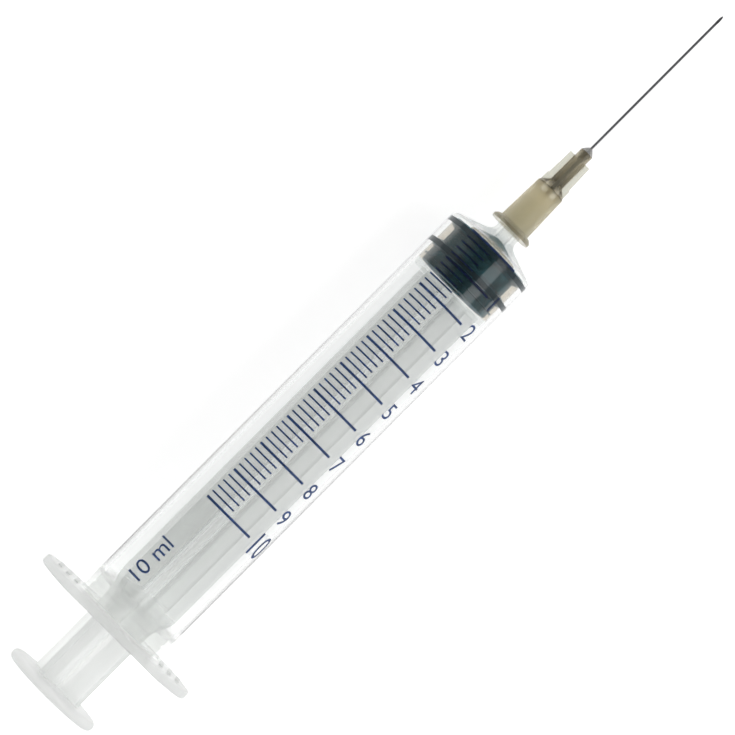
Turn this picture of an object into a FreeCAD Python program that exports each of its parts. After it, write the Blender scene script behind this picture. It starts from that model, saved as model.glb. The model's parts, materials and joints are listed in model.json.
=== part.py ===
import FreeCAD, Part
import os
import re
import Sketcher

# A 10 ml three-piece disposable syringe with its needle fitted, lying as it comes to rest.
# Each piece is drawn about the X axis: the rear face of the finger flange is at x = 0, the
# needle points along +X and +Z looks up. One shared placement then tips the nose down on to
# the floor. Sizes are in millimetres and degrees.

SIZES = [
    ("bore_dia", 14.8, "bore of the barrel"),
    ("barrel_wall", 0.9, "wall of the barrel"),
    ("barrel_len", 84.2, "flange rear face to the edge of the shoulder"),
    ("barrel_edge", 0.6, "rounding of the shoulder's edge"),
    ("shoulder_slope", 69.3, "angle of the shoulder to the axis"),
    ("shoulder_wall", 0.85, "wall of the shoulder"),
    ("shoulder_root", 1.5, "hollow rounding where the nozzle leaves the shoulder"),
    ("mouth_flare", 0.3, "widening of the bore at the open end"),
    ("mouth_deep", 1.5, "length of that widening"),
    ("bead_back", 3.2, "flange rear face to the bead that holds the plunger in"),
    ("bead_high", 0.3, "height of the bead inside the bore"),
    ("bead_wide", 0.8, "width of the bead at its foot"),
    ("bead_top", 0.2, "width of the bead at its crest"),
    ("nozzle_len", 7.7, "length of the tapered nozzle"),
    ("nozzle_bore", 2.2, "hole through the nozzle"),
    ("nozzle_edge", 0.25, "rounding of the nozzle's tip"),
    ("luer_tip_dia", 3.925, "nozzle diameter at its tip"),
    ("luer_taper", 0.06, "taper of nozzle and hub, on the diameter"),
    ("luer_depth", 6.0, "length of nozzle inside the hub"),
    ("luer_clear", 0.015, "radial clearance between nozzle and hub"),
    ("flange_width", 30.9, "finger flange, tip to tip"),
    ("flange_flats", 24.0, "finger flange across its flats"),
    ("flange_thick", 1.55, "plate of the finger flange"),
    ("flange_edge", 0.4, "rounding of the flange's rim"),
    ("flange_corner", 2.0, "rounding of the flange's corners, seen along the axis"),
    ("flange_root", 0.4, "hollow rounding where the barrel leaves the flange"),
    ("ridge_gap", 0.55, "barrel's side to the first grip ridge"),
    ("ridge_pitch", 1.75, "spacing of the grip ridges"),
    ("ridge_count", 3, "grip ridges on each wing"),
    ("ridge_wide", 0.8, "width of a grip ridge"),
    ("ridge_long", 9.0, "length of a grip ridge"),
    ("ridge_high", 0.25, "height of a grip ridge"),
    ("capacity", 10, "volume at the last mark, in millilitres"),
    ("marks_per_ml", 5, "divisions in one millilitre"),
    ("ink_thick", 0.04, "thickness of the printed ink"),
    ("mark_wide", 0.42, "width of a numbered mark"),
    ("tick_wide", 0.28, "width of a small mark"),
    ("mark_start", 30.3, "angle from the top to where the marks start"),
    ("tick_end", 2.9, "angle from the top to the end of a small mark"),
    ("mark_end", 36.8, "angle from the top to the end of a numbered mark"),
    ("seal_len", 8.35, "stopper, rear face to front ring's edge"),
    ("seal_clear", 0.03, "radial clearance of the stopper's rings in the bore"),
    ("seal_gap", 0.1, "gap from the stopper's front to the shoulder"),
    ("seal_body_clear", 0.65, "radial gap round the stopper behind its second ring"),
    ("lip_clear", 0.2, "radial gap round the thin lip behind the second ring"),
    ("lip_back", 1.1, "stopper's rear face to the lip"),
    ("lip_wide", 0.22, "width of the lip"),
    ("ring_back", 2.95, "stopper's rear face to the second ring"),
    ("ring_wide", 1.0, "width of the second ring"),
    ("waist_clear", 1.1, "radial gap round the stopper between its rings"),
    ("ring_slope", 0.45, "length of the rings' sloping flanks"),
    ("front_ring", 1.0, "width of the front ring"),
    ("seal_nose_dia", 1.8, "flat nose of the stopper"),
    ("head_clear", 0.2, "radial gap round the rod's head disc behind the stopper"),
    ("head_thick", 1.2, "thickness of that disc"),
    ("head_gap", 0.05, "clearance between the rod's head and the stopper"),
    ("neck_dia", 6.0, "neck of the rod's button"),
    ("neck_len", 1.6, "length of the neck"),
    ("button_dia", 8.8, "button held inside the stopper"),
    ("button_len", 3.0, "length of the button"),
    ("button_edge", 0.7, "chamfer on the button's front"),
    ("rib_thick", 1.25, "thickness of the rod's crossed ribs"),
    ("rib_clear", 0.15, "radial gap from the ribs to the bead"),
    ("rib_dia_rear", 10.9, "ribs, edge to edge, outside the barrel"),
    ("rib_step_back", 3.9, "flange rear face to where the ribs start to widen"),
    ("rib_step_len", 3.1, "length over which they widen"),
    ("rib_step_round", 4.0, "rounding of both ends of that slope"),
    ("rod_turn", 55.0, "turn of the crossed ribs about the axis"),
    ("thumb_dia", 17.4, "thumb plate"),
    ("thumb_thick", 1.8, "thickness of the thumb plate"),
    ("thumb_edge", 0.8, "rounding of the thumb plate's rim"),
    ("thumb_gap", 12.2, "flange rear face to thumb plate, plunger pushed home"),
    ("round_share", 0.45, "largest share of a plate's thickness that its rounded rim takes"),
    ("hub_lug_dia", 7.6, "lugs at the open end of the needle hub"),
    ("hub_lug_thick", 1.0, "thickness of the lugs"),
    ("hub_lug_flare", 0.45, "sloping front of the lugs"),
    ("hub_rear_wall", 0.69, "wall of the hub body at its open end"),
    ("hub_front_wall", 0.66, "wall of the hub body at the floor of its socket"),
    ("hub_body_len", 9.2, "length of the hub body"),
    ("hub_cavity", 8.0, "depth of the hub's tapered socket"),
    ("hub_shoulder", 1.3, "length of the cone in front of the hub body"),
    ("hub_len", 17.3, "hub without its adhesive"),
    ("fin_thick", 0.65, "thickness of the hub's fins"),
    ("fin_first_dia", 4.75, "fins, edge to edge, at their start"),
    ("fin_step", 1.8, "length of the fins' taller start"),
    ("fin_dia", 4.4, "fins, edge to edge, past the step"),
    ("fin_end_dia", 4.1, "fins, edge to edge, at their end"),
    ("fin_len", 6.6, "length of the fins from the hub body"),
    ("well_dia", 1.7, "glue well in the hub's nose, at its mouth"),
    ("well_deep", 2.2, "depth of the glue well"),
    ("well_wall", 0.3, "wall of the hub's core round the well"),
    ("glue_proud", 1.0, "cone of adhesive in front of the hub"),
    ("needle_dia", 0.45, "outside of the needle"),
    ("needle_bore", 0.24, "bore of the needle"),
    ("needle_out", 29.7, "needle in front of its adhesive"),
    ("needle_bevel", 12.0, "angle of the needle's ground point"),
    ("glue_top_dia", 0.65, "adhesive round the needle at its very front"),
]

# Values that follow from the sizes above, in the order in which they depend on each other.
WORKED = [
    ("bore_r", "bore_dia / 2"),
    ("outer_r", "bore_r + barrel_wall"),
    ("flat_half", "flange_flats / 2"),
    ("flange_round", "min(flange_edge; round_share * flange_thick)"),
    ("thumb_round", "min(thumb_edge; round_share * thumb_thick)"),
    ("shoulder_run", "1 / tan(shoulder_slope)"),
    ("luer_tip_r", "luer_tip_dia / 2"),
    ("nozzle_root_r", "luer_tip_r + luer_taper / 2 * nozzle_len"),
    ("nozzle_root_x", "barrel_len + (outer_r - nozzle_root_r) * shoulder_run"),
    ("nozzle_tip_x", "nozzle_root_x + nozzle_len"),
    ("chamber_x", "barrel_len + barrel_wall * shoulder_run - shoulder_wall / sin(shoulder_slope)"),
    ("nozzle_bore_x", "chamber_x + (bore_r - nozzle_bore / 2) * shoulder_run"),
    ("ml_len", "1000 / (pi / 4 * bore_dia ^ 2)"),
    ("ridge_near", "outer_r + ridge_gap"),
    ("ring_r", "bore_r - seal_clear"),
    ("seal_body_r", "bore_r - seal_body_clear"),
    ("lip_r", "bore_r - lip_clear"),
    ("waist_r", "bore_r - waist_clear"),
    ("head_r", "bore_r - head_clear"),
    ("rib_r", "bore_r - bead_high - rib_clear"),
    ("seal_front_x", "chamber_x - seal_gap"),
    ("seal_rear_x", "seal_front_x - seal_len"),
    ("seal_nose_x", "seal_front_x + (ring_r - seal_nose_dia / 2) * shoulder_run"),
    ("head_front_x", "seal_rear_x - head_gap"),
    ("head_rear_x", "head_front_x - head_thick"),
    ("button_x", "head_front_x + neck_len"),
    ("button_front_x", "button_x + button_len"),
    ("thumb_front_x", "-thumb_gap"),
    ("thumb_rear_x", "-thumb_gap - thumb_thick"),
    ("hub_x", "nozzle_tip_x - luer_depth"),
    ("hub_mouth_r", "luer_tip_r + luer_taper / 2 * luer_depth + luer_clear"),
    ("hub_floor_x", "hub_x + hub_cavity"),
    ("hub_floor_r", "hub_mouth_r - luer_taper / 2 * hub_cavity"),
    ("hub_rear_r", "hub_mouth_r + hub_rear_wall"),
    ("hub_front_r", "hub_floor_r + hub_front_wall"),
    ("hub_core_r", "well_dia / 2 + well_wall"),
    ("hub_body_x", "hub_x + hub_body_len"),
    ("hub_nose_x", "hub_x + hub_len"),
    ("glue_tip_x", "hub_nose_x + glue_proud"),
    ("needle_tip_x", "glue_tip_x + needle_out"),
    ("needle_r", "needle_dia / 2"),
    ("edge_x", "barrel_len - barrel_edge * tan(shoulder_slope / 2)"),
    ("rest_x", "flange_thick - flange_round"),
    ("rest_z", "flat_half - flange_round"),
    ("rest_run", "edge_x - rest_x"),
    ("rest_drop", "rest_z - (outer_r - barrel_edge)"),
    ("rest_edges", "flange_round - barrel_edge"),
    ("rest_length", "hypot(rest_run; rest_drop)"),
    ("tilt", "(atan2(rest_drop; rest_run) + asin(rest_edges / rest_length)) / 1 deg"),
    ("lift", "rest_x * sin(tilt) + rest_z * cos(tilt) + flange_round"),
    ("rim_x", "thumb_rear_x + thumb_round"),
    ("rim_z", "thumb_dia / 2 - thumb_round"),
    ("rear_reach", "rim_x * cos(tilt) - rim_z * sin(tilt) - thumb_round"),
    ("front_reach", "needle_tip_x * cos(tilt) - needle_r * sin(tilt)"),
    ("middle", "(rear_reach + front_reach) / 2"),
]

CUT_PAST = 1.0  # how far a cutting outline runs past the face that it opens
NEAR = 0.001  # two places closer than this are the same

doc = FreeCAD.newDocument("syringe")
sheet = doc.addObject("Spreadsheet::Sheet", "sizes")
worked = doc.addObject("App::VarSet", "worked")
OWNER = {}


def named(text):
    """Say for each size in an expression which object holds it."""
    return re.sub(r"[a-z_]+", lambda found: OWNER.get(found.group(), "") + found.group(), text)


def write_sizes():
    for row, (alias, value, words) in enumerate(SIZES, 1):
        sheet.set(f"A{row}", words)
        sheet.set(f"B{row}", str(value))
        sheet.setAlias(f"B{row}", alias)
        OWNER[alias] = "sizes."
    doc.recompute()
    for name, text in WORKED:
        worked.addProperty("App::PropertyFloat", name, "Worked")
        worked.setExpression(name, named(text))
        OWNER[name] = "worked."
        doc.recompute()


def new_body(label):
    body = doc.addObject("PartDesign::Body", label)
    body.Label = label
    return body


def new_sketch(body, name, role, shift=None):
    """A sketch on one of the body's own planes, shifted along the plane's normal if asked."""
    sketch = body.newObject("Sketcher::SketchObject", name)
    plane = next(item for item in body.Origin.OriginFeatures if item.Role == role)
    sketch.AttachmentSupport = [(plane, "")]
    sketch.MapMode = "FlatFace"
    if shift:
        sketch.setExpression("AttachmentOffset.Base.z", named(shift))
    doc.recompute()
    return sketch


def tie_point(sketch, name, geometry, end, across, up):
    """Hold one end of a line at a place given by two expressions."""
    for kind, mark, text in (("DistanceX", "x", across), ("DistanceY", "y", up)):
        value = float(sketch.evalExpression(named(text)))
        constraint = Sketcher.Constraint(kind, -1, 1, geometry, end, value)
        number = sketch.addConstraint(constraint)
        sketch.renameConstraint(number, f"{name}_{mark}")
        sketch.setExpression(f"Constraints.{name}_{mark}", named(text))


def outline(body, name, role, points, shift=None):
    """A closed outline of straight lines through points given as pairs of expressions."""
    sketch = new_sketch(body, name, role, shift)
    corners = []
    for across, up in points:
        x = float(sketch.evalExpression(named(across)))
        y = float(sketch.evalExpression(named(up)))
        corners.append(FreeCAD.Vector(x, y, 0))
    count = len(corners)
    for number in range(count):
        line = Part.LineSegment(corners[number], corners[(number + 1) % count])
        sketch.addGeometry(line)
    for number in range(count):
        sketch.addConstraint(Sketcher.Constraint("Coincident", number, 2, (number + 1) % count, 1))
    for number, (across, up) in enumerate(points):
        tie_point(sketch, f"point{number}", number, 1, across, up)
    doc.recompute()
    return sketch


def flatted_disc(body, name, width, flats, shift=None):
    """The outline of a round plate with two flats, in the plane across the axis."""
    sketch = new_sketch(body, name, "YZ_Plane", shift)
    radius = float(sketch.evalExpression(named(width))) / 2
    half = float(sketch.evalExpression(named(flats))) / 2
    side = (radius ** 2 - half ** 2) ** 0.5
    right_top = FreeCAD.Vector(side, half, 0)
    right_bottom = FreeCAD.Vector(side, -half, 0)
    left_top = FreeCAD.Vector(-side, half, 0)
    left_bottom = FreeCAD.Vector(-side, -half, 0)
    sketch.addGeometry(Part.Arc(right_bottom, FreeCAD.Vector(radius, 0, 0), right_top))
    sketch.addGeometry(Part.LineSegment(right_top, left_top))
    sketch.addGeometry(Part.Arc(left_top, FreeCAD.Vector(-radius, 0, 0), left_bottom))
    sketch.addGeometry(Part.LineSegment(left_bottom, right_bottom))
    for number in range(4):
        sketch.addConstraint(Sketcher.Constraint("Coincident", number, 2, (number + 1) % 4, 1))
    for arc in (0, 2):
        sketch.addConstraint(Sketcher.Constraint("Coincident", arc, 3, -1, 1))
    for line in (1, 3):
        sketch.addConstraint(Sketcher.Constraint("Horizontal", line))
    round_rim = sketch.addConstraint(Sketcher.Constraint("Radius", 0, radius))
    sketch.setExpression(f"Constraints[{round_rim}]", named(width) + " / 2")
    upper = sketch.addConstraint(Sketcher.Constraint("DistanceY", -1, 1, 1, 1, half))
    sketch.setExpression(f"Constraints[{upper}]", named(flats) + " / 2")
    lower = sketch.addConstraint(Sketcher.Constraint("DistanceY", 3, 1, -1, 1, half))
    sketch.setExpression(f"Constraints[{lower}]", named(flats) + " / 2")
    doc.recompute()
    return sketch


def turned(body, name, points, cut=False):
    """Turn an outline about the X axis, as solid or as a cut."""
    sketch = outline(body, name + "_outline", "XZ_Plane", points)
    kind = "PartDesign::Groove" if cut else "PartDesign::Revolution"
    feature = body.newObject(kind, name)
    feature.Profile = sketch
    feature.ReferenceAxis = (sketch, ["H_Axis"])
    feature.Angle = 360
    doc.recompute()
    return feature


def padded(body, name, sketch, length, midplane=False):
    pad = body.newObject("PartDesign::Pad", name)
    pad.Profile = sketch
    pad.Midplane = midplane
    pad.setExpression("Length", named(length))
    doc.recompute()
    return pad


def repeated(body, name, feature, sketch, length, count, backwards=False):
    """Repeat a feature in a row along its sketch's first axis."""
    row = body.newObject("PartDesign::LinearPattern", name)
    row.Originals = [feature]
    row.Direction = (sketch, ["H_Axis"])
    row.Reversed = backwards
    row.setExpression("Length", named(length))
    row.setExpression("Occurrences", named(count))
    body.Tip = row
    doc.recompute()
    return row


def spun(body, name, feature, sketch, angle, count):
    """Repeat a feature about the X axis."""
    ring = body.newObject("PartDesign::PolarPattern", name)
    ring.Originals = [feature]
    ring.Axis = (sketch, ["H_Axis"])
    ring.Angle = angle
    ring.Occurrences = count
    body.Tip = ring
    doc.recompute()
    return ring


def rounded(body, name, base, chosen, radius):
    """Round the edges for which the test holds."""
    names = [f"Edge{number}" for number, edge in enumerate(base.Shape.Edges, 1) if chosen(edge)]
    if not names:
        raise ValueError(f"{name} finds no edge")
    fillet = body.newObject("PartDesign::Fillet", name)
    fillet.Base = (base, names)
    fillet.setExpression("Radius", named(radius))
    doc.recompute()
    return fillet


def at_ring(x, radius):
    """Test for the round edges about the axis with this place and radius."""
    def chosen(edge):
        curve = edge.Curve
        if not isinstance(curve, Part.Circle):
            return False
        return abs(curve.Center.x - x) < NEAR and abs(curve.Radius - radius) < NEAR
    return chosen


def at_rib_corner(x, reach):
    """Test for the short edges across the ribs at this place and distance from the axis."""
    def chosen(edge):
        middle = edge.CenterOfMass
        return abs(middle.x - x) < NEAR and abs((middle.y ** 2 + middle.z ** 2) ** 0.5 - reach) < NEAR
    return chosen


def size(alias):
    return float(sheet.get(alias))


def place(body, turn=None):
    """Lay a piece, drawn about the X axis, where the whole syringe rests."""
    spot = "create(<<vector>>; -middle; 0; lift)"
    tip = "create(<<rotation>>; create(<<vector>>; 0; 1; 0); tilt)"
    if turn:
        tip += f" * create(<<rotation>>; create(<<vector>>; 1; 0; 0); {turn})"
    body.setExpression("Placement", named(f"create(<<placement>>; {spot}; {tip})"))
    doc.recompute()


def make_barrel():
    body = new_body("barrel")
    rim = flatted_disc(body, "flange_outline", "flange_width", "flange_flats")
    flange = padded(body, "flange", rim, "flange_thick")
    corners = rounded(body, "flange_corners", flange,
                      lambda edge: edge.BoundBox.XLength > size("flange_thick") / 2, "flange_corner")
    rounded(body, "flange_rim", corners, lambda edge: edge.BoundBox.XLength < NEAR,
            "flange_round")
    shell = turned(body, "tube", [
        ("0", "0"),
        ("0", "outer_r"),
        ("barrel_len", "outer_r"),
        ("nozzle_root_x", "nozzle_root_r"),
        ("nozzle_tip_x", "luer_tip_r"),
        ("nozzle_tip_x", "0"),
    ])
    foot = rounded(body, "flange_foot", shell,
                   at_ring(size("flange_thick"), worked.outer_r), "flange_root")
    root = rounded(body, "nozzle_root", foot,
                   at_ring(worked.nozzle_root_x, worked.nozzle_root_r), "shoulder_root")
    edge = rounded(body, "shoulder_edge", root,
                   at_ring(size("barrel_len"), worked.outer_r), "barrel_edge")
    rounded(body, "nozzle_rim", edge,
            at_ring(worked.nozzle_tip_x, worked.luer_tip_r), "nozzle_edge")
    turned(body, "bore", [
        (f"-{CUT_PAST}", "0"),
        (f"-{CUT_PAST}", "bore_r + mouth_flare"),
        ("0", "bore_r + mouth_flare"),
        ("mouth_deep", "bore_r"),
        ("bead_back", "bore_r"),
        ("bead_back + (bead_wide - bead_top) / 2", "bore_r - bead_high"),
        ("bead_back + (bead_wide + bead_top) / 2", "bore_r - bead_high"),
        ("bead_back + bead_wide", "bore_r"),
        ("chamber_x", "bore_r"),
        ("nozzle_bore_x", "nozzle_bore / 2"),
        (f"nozzle_tip_x + {CUT_PAST}", "nozzle_bore / 2"),
        (f"nozzle_tip_x + {CUT_PAST}", "0"),
    ], cut=True)
    for side, sign in (("left", ""), ("right", "-")):
        near = f"{sign}ridge_near"
        far = f"{sign}(ridge_near + ridge_wide)"
        strip = outline(body, f"ridge_{side}_outline", "YZ_Plane", [
            (near, "-ridge_long / 2"),
            (far, "-ridge_long / 2"),
            (far, "ridge_long / 2"),
            (near, "ridge_long / 2"),
        ], shift="flange_thick")
        ridge = padded(body, f"ridge_{side}", strip, "ridge_high")
        repeated(body, f"ridges_{side}", ridge, strip,
                 "ridge_pitch * (ridge_count - 1)", "ridge_count", side == "right")
    place(body)
    return body


def make_marks():
    """The printed scale: thin strips of ink laid on the barrel, one for each division."""
    body = new_body("scale_marks")
    kinds = (
        ("tick", "tick_wide", "tick_end", "capacity * marks_per_ml"),
        ("mark", "mark_wide", "mark_end", "capacity"),
    )
    for name, wide, end, count in kinds:
        strip = outline(body, f"{name}_outline", "XZ_Plane", [
            (f"seal_front_x - {wide} / 2", "outer_r"),
            (f"seal_front_x + {wide} / 2", "outer_r"),
            (f"seal_front_x + {wide} / 2", "outer_r + ink_thick"),
            (f"seal_front_x - {wide} / 2", "outer_r + ink_thick"),
        ])
        line = body.newObject("PartDesign::Revolution", name)
        line.Profile = strip
        line.ReferenceAxis = (strip, ["H_Axis"])
        line.Type = "TwoAngles"
        line.setExpression("Angle", named(end))
        line.setExpression("Angle2", named("mark_start"))
        doc.recompute()
        repeated(body, f"{name}s", line, strip, "capacity * ml_len", f"{count} + 1", True)
    place(body)
    return body


def make_stopper():
    body = new_body("stopper")
    turned(body, "rubber", [
        ("seal_rear_x", "0"),
        ("seal_rear_x", "seal_body_r"),
        ("seal_rear_x + lip_back", "seal_body_r"),
        ("seal_rear_x + lip_back", "lip_r"),
        ("seal_rear_x + lip_back + lip_wide", "lip_r"),
        ("seal_rear_x + lip_back + lip_wide", "seal_body_r"),
        ("seal_rear_x + ring_back - ring_slope / 2", "seal_body_r"),
        ("seal_rear_x + ring_back", "ring_r"),
        ("seal_rear_x + ring_back + ring_wide", "ring_r"),
        ("seal_rear_x + ring_back + ring_wide + ring_slope", "waist_r"),
        ("seal_front_x - front_ring - ring_slope", "waist_r"),
        ("seal_front_x - front_ring", "ring_r"),
        ("seal_front_x", "ring_r"),
        ("seal_nose_x", "seal_nose_dia / 2"),
        ("seal_nose_x", "0"),
    ])
    turned(body, "socket", [
        (f"seal_rear_x - {CUT_PAST}", "0"),
        (f"seal_rear_x - {CUT_PAST}", "neck_dia / 2 + head_gap"),
        ("button_x - head_gap", "neck_dia / 2 + head_gap"),
        ("button_x - head_gap", "button_dia / 2 + head_gap"),
        ("button_front_x - button_edge + head_gap", "button_dia / 2 + head_gap"),
        ("button_front_x + head_gap", "button_dia / 2 - button_edge + head_gap"),
        ("button_front_x + head_gap", "0"),
    ], cut=True)
    place(body)
    return body


def make_rod():
    body = new_body("plunger_rod")
    web = outline(body, "rib_outline", "XZ_Plane", [
        ("thumb_front_x - thumb_thick / 2", "-rib_dia_rear / 2"),
        ("rib_step_back", "-rib_dia_rear / 2"),
        ("rib_step_back + rib_step_len", "-rib_r"),
        ("head_rear_x + head_thick / 2", "-rib_r"),
        ("head_rear_x + head_thick / 2", "rib_r"),
        ("rib_step_back + rib_step_len", "rib_r"),
        ("rib_step_back", "rib_dia_rear / 2"),
        ("thumb_front_x - thumb_thick / 2", "rib_dia_rear / 2"),
    ])
    rib = padded(body, "rib", web, "rib_thick", midplane=True)
    ribs = spun(body, "ribs", rib, web, 90, 2)
    low = at_rib_corner(size("rib_step_back"), size("rib_dia_rear") / 2)
    high = at_rib_corner(size("rib_step_back") + size("rib_step_len"), worked.rib_r)
    rounded(body, "rib_steps", ribs, lambda edge: low(edge) or high(edge), "rib_step_round")
    plate = turned(body, "thumb_plate", [
        ("thumb_rear_x", "0"),
        ("thumb_rear_x", "thumb_dia / 2"),
        ("thumb_front_x", "thumb_dia / 2"),
        ("thumb_front_x", "0"),
    ])
    thumb_r = size("thumb_dia") / 2
    rear = at_ring(worked.thumb_rear_x, thumb_r)
    front = at_ring(worked.thumb_front_x, thumb_r)
    rounded(body, "thumb_rim", plate, lambda edge: rear(edge) or front(edge),
            "thumb_round")
    turned(body, "head", [
        ("head_rear_x", "0"),
        ("head_rear_x", "head_r"),
        ("head_front_x", "head_r"),
        ("head_front_x", "neck_dia / 2"),
        ("button_x", "neck_dia / 2"),
        ("button_x", "button_dia / 2"),
        ("button_front_x - button_edge", "button_dia / 2"),
        ("button_front_x", "button_dia / 2 - button_edge"),
        ("button_front_x", "0"),
    ])
    place(body, "rod_turn")
    return body


def make_hub():
    body = new_body("needle_hub")
    lugs = flatted_disc(body, "lug_outline", "hub_lug_dia", "2 * hub_rear_r", shift="hub_x")
    plate = padded(body, "lugs", lugs, "hub_lug_thick")
    lug_x = worked.hub_x + size("hub_lug_thick")
    flare = body.newObject("PartDesign::Chamfer", "lug_flare")
    front = at_ring(lug_x, size("hub_lug_dia") / 2)
    ends = [f"Edge{number}" for number, edge in enumerate(plate.Shape.Edges, 1) if front(edge)]
    flare.Base = (plate, ends)
    flare.setExpression("Size", named("hub_lug_flare"))
    doc.recompute()
    turned(body, "hub_body", [
        ("hub_x", "0"),
        ("hub_x", "hub_rear_r"),
        ("hub_body_x", "hub_front_r"),
        ("hub_body_x + hub_shoulder", "hub_core_r"),
        ("hub_nose_x", "hub_core_r"),
        ("hub_nose_x", "0"),
    ])
    side = outline(body, "fin_outline", "XZ_Plane", [
        ("hub_body_x - hub_shoulder", "0"),
        ("hub_body_x - hub_shoulder", "hub_core_r"),
        ("hub_body_x - hub_shoulder / 2", "fin_first_dia / 2"),
        ("hub_body_x + fin_step", "fin_first_dia / 2"),
        ("hub_body_x + fin_step", "fin_dia / 2"),
        ("hub_body_x + fin_len", "fin_end_dia / 2"),
        ("hub_body_x + fin_len", "0"),
    ])
    fin = padded(body, "fin", side, "fin_thick", midplane=True)
    spun(body, "fins", fin, side, 360, 4)
    turned(body, "socket", [
        (f"hub_x - {CUT_PAST}", "0"),
        (f"hub_x - {CUT_PAST}", "hub_mouth_r"),
        ("hub_x", "hub_mouth_r"),
        ("hub_floor_x", "hub_floor_r"),
        ("hub_floor_x", "needle_r"),
        ("hub_nose_x - well_deep", "needle_r"),
        ("hub_nose_x", "well_dia / 2"),
        (f"hub_nose_x + {CUT_PAST}", "well_dia / 2"),
        (f"hub_nose_x + {CUT_PAST}", "0"),
    ], cut=True)
    place(body)
    return body


def make_glue():
    """The adhesive that fills the well round the needle and stands as a cone in front of it."""
    body = new_body("hub_adhesive")
    turned(body, "glue", [
        ("hub_nose_x - well_deep", "needle_r"),
        ("hub_nose_x", "well_dia / 2"),
        ("hub_nose_x", "hub_core_r"),
        ("glue_tip_x", "glue_top_dia / 2"),
        ("glue_tip_x", "needle_r"),
    ])
    place(body)
    return body


def make_needle():
    body = new_body("needle_tube")
    turned(body, "tube", [
        ("hub_floor_x", "needle_bore / 2"),
        ("hub_floor_x", "needle_r"),
        ("needle_tip_x", "needle_r"),
        ("needle_tip_x", "needle_bore / 2"),
    ])
    wedge = outline(body, "bevel_outline", "XZ_Plane", [
        ("needle_tip_x", "-needle_r"),
        (f"needle_tip_x + {CUT_PAST}", "-needle_r"),
        (f"needle_tip_x + {CUT_PAST}", f"needle_r + {CUT_PAST}"),
        (f"needle_tip_x - (needle_dia + {CUT_PAST}) / tan(needle_bevel)",
         f"needle_r + {CUT_PAST}"),
    ])
    bevel = body.newObject("PartDesign::Pocket", "bevel")
    bevel.Profile = wedge
    bevel.Midplane = True
    bevel.setExpression("Length", named("needle_dia * 2"))
    place(body)
    return body


def check(pieces):
    """Stop before anything is written if an object failed or a piece is not sound."""
    for item in doc.Objects:
        if "Invalid" in item.State or "Error" in item.State:
            raise ValueError(f"{item.Label} is {item.State}")
    for piece in pieces:
        if piece.Shape.isNull() or not piece.Shape.isValid():
            raise ValueError(f"{piece.Label} has no sound shape")


def export(pieces):
    os.makedirs("parts", exist_ok=True)
    for piece in pieces:
        piece.Shape.exportStep(f"parts/{piece.Label}.step")
        box = piece.Shape.BoundBox
        print(f"{piece.Label}: {len(piece.Shape.Solids)} solids, {piece.Shape.Volume:.2f} mm3, "
              f"x {box.XMin:.3f} to {box.XMax:.3f}, y {box.YMin:.3f} to {box.YMax:.3f}, "
              f"z {box.ZMin:.3f} to {box.ZMax:.3f}")


write_sizes()
all_pieces = [
    make_barrel(),
    make_marks(),
    make_stopper(),
    make_rod(),
    make_hub(),
    make_glue(),
    make_needle(),
]
doc.recompute()
check(all_pieces)
export(all_pieces)
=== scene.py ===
import json
import math

import bmesh
import bpy
from bpy.props import FloatProperty, FloatVectorProperty, IntProperty, PointerProperty
from mathutils import Matrix, Vector


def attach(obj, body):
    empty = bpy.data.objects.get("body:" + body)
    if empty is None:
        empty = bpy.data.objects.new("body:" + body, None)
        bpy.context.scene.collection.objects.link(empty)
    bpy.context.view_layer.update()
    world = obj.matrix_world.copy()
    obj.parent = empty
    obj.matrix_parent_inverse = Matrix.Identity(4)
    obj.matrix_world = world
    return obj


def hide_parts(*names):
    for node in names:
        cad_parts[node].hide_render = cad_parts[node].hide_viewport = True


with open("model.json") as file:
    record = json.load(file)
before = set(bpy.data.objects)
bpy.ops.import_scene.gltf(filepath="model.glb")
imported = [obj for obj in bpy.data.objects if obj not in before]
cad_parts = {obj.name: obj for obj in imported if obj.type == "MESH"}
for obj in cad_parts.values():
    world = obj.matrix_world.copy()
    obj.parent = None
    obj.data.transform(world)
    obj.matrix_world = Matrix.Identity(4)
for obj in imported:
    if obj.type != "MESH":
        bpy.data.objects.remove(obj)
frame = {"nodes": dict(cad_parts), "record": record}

bl_info = {
    "name": "Slip-tip syringe with needle",
    "version": (1, 0, 0),
    "blender": (4, 5, 0),
    "location": "3D View > Sidebar > Syringe",
    "description": "Dresses the frame of a 10 ml syringe: plastic, rubber, printed scale and needle",
    "category": "Object",
}

# Every piece is drawn about the X axis, in metres: the rear face of the finger flange is at
# x = 0, the needle points along +X and +Z looks up. LAID then puts it where the frame lies.

MM = 0.001
TURN = 2 * math.pi
FULL_STEPS = 192  # faces round a large piece
FINE_STEPS = 64  # faces round the adhesive and the needle
ARC_STEPS = 5  # faces round one rounded corner
BEVEL_STEPS = 3  # faces across one bevelled edge
RIB_CUTS = 14  # stretches of the soft step in the ribs
BAND_STEP = math.radians(1.5)  # turn from one face of a printed mark to the next
LETTER_STEPS = 5  # straight pieces in one curve of a letter
NUMBER_SLICES = 12  # strips in which a number bends round the barrel
SMOOTH_LIMIT = math.radians(28)  # faces that meet at more than this keep a crisp edge
NEAR = 0.002 * MM  # two places closer than this are the same
LETTER_NEAR = 1e-5  # the same for letters, which are first drawn about one unit high
FACING = 0.99  # a face looks in a direction when more of its normal than this points there
WITHIN = 0.9  # this share of a radius is safely inside it
MILLILITRE = 1e-6  # in cubic metres
PLASTIC_BENDS = 1.49  # refractive index of polypropylene
RUBBER_BENDS = 1.5  # refractive index of rubber and of the cured adhesive
INK_BENDS = 1.3  # refractive index of the ink's thin skin
FLOOR_REACH = 4  # radius of the floor, in metres
FLOOR_STEPS = 96  # straight sides of the floor's edge
FLOOR_DROP = 0.05 * MM  # the floor lies this far below the syringe, so that they share no plane
CAMERA_NEAR = 0.01  # what is closer to the camera than this isn't drawn, in metres

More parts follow.
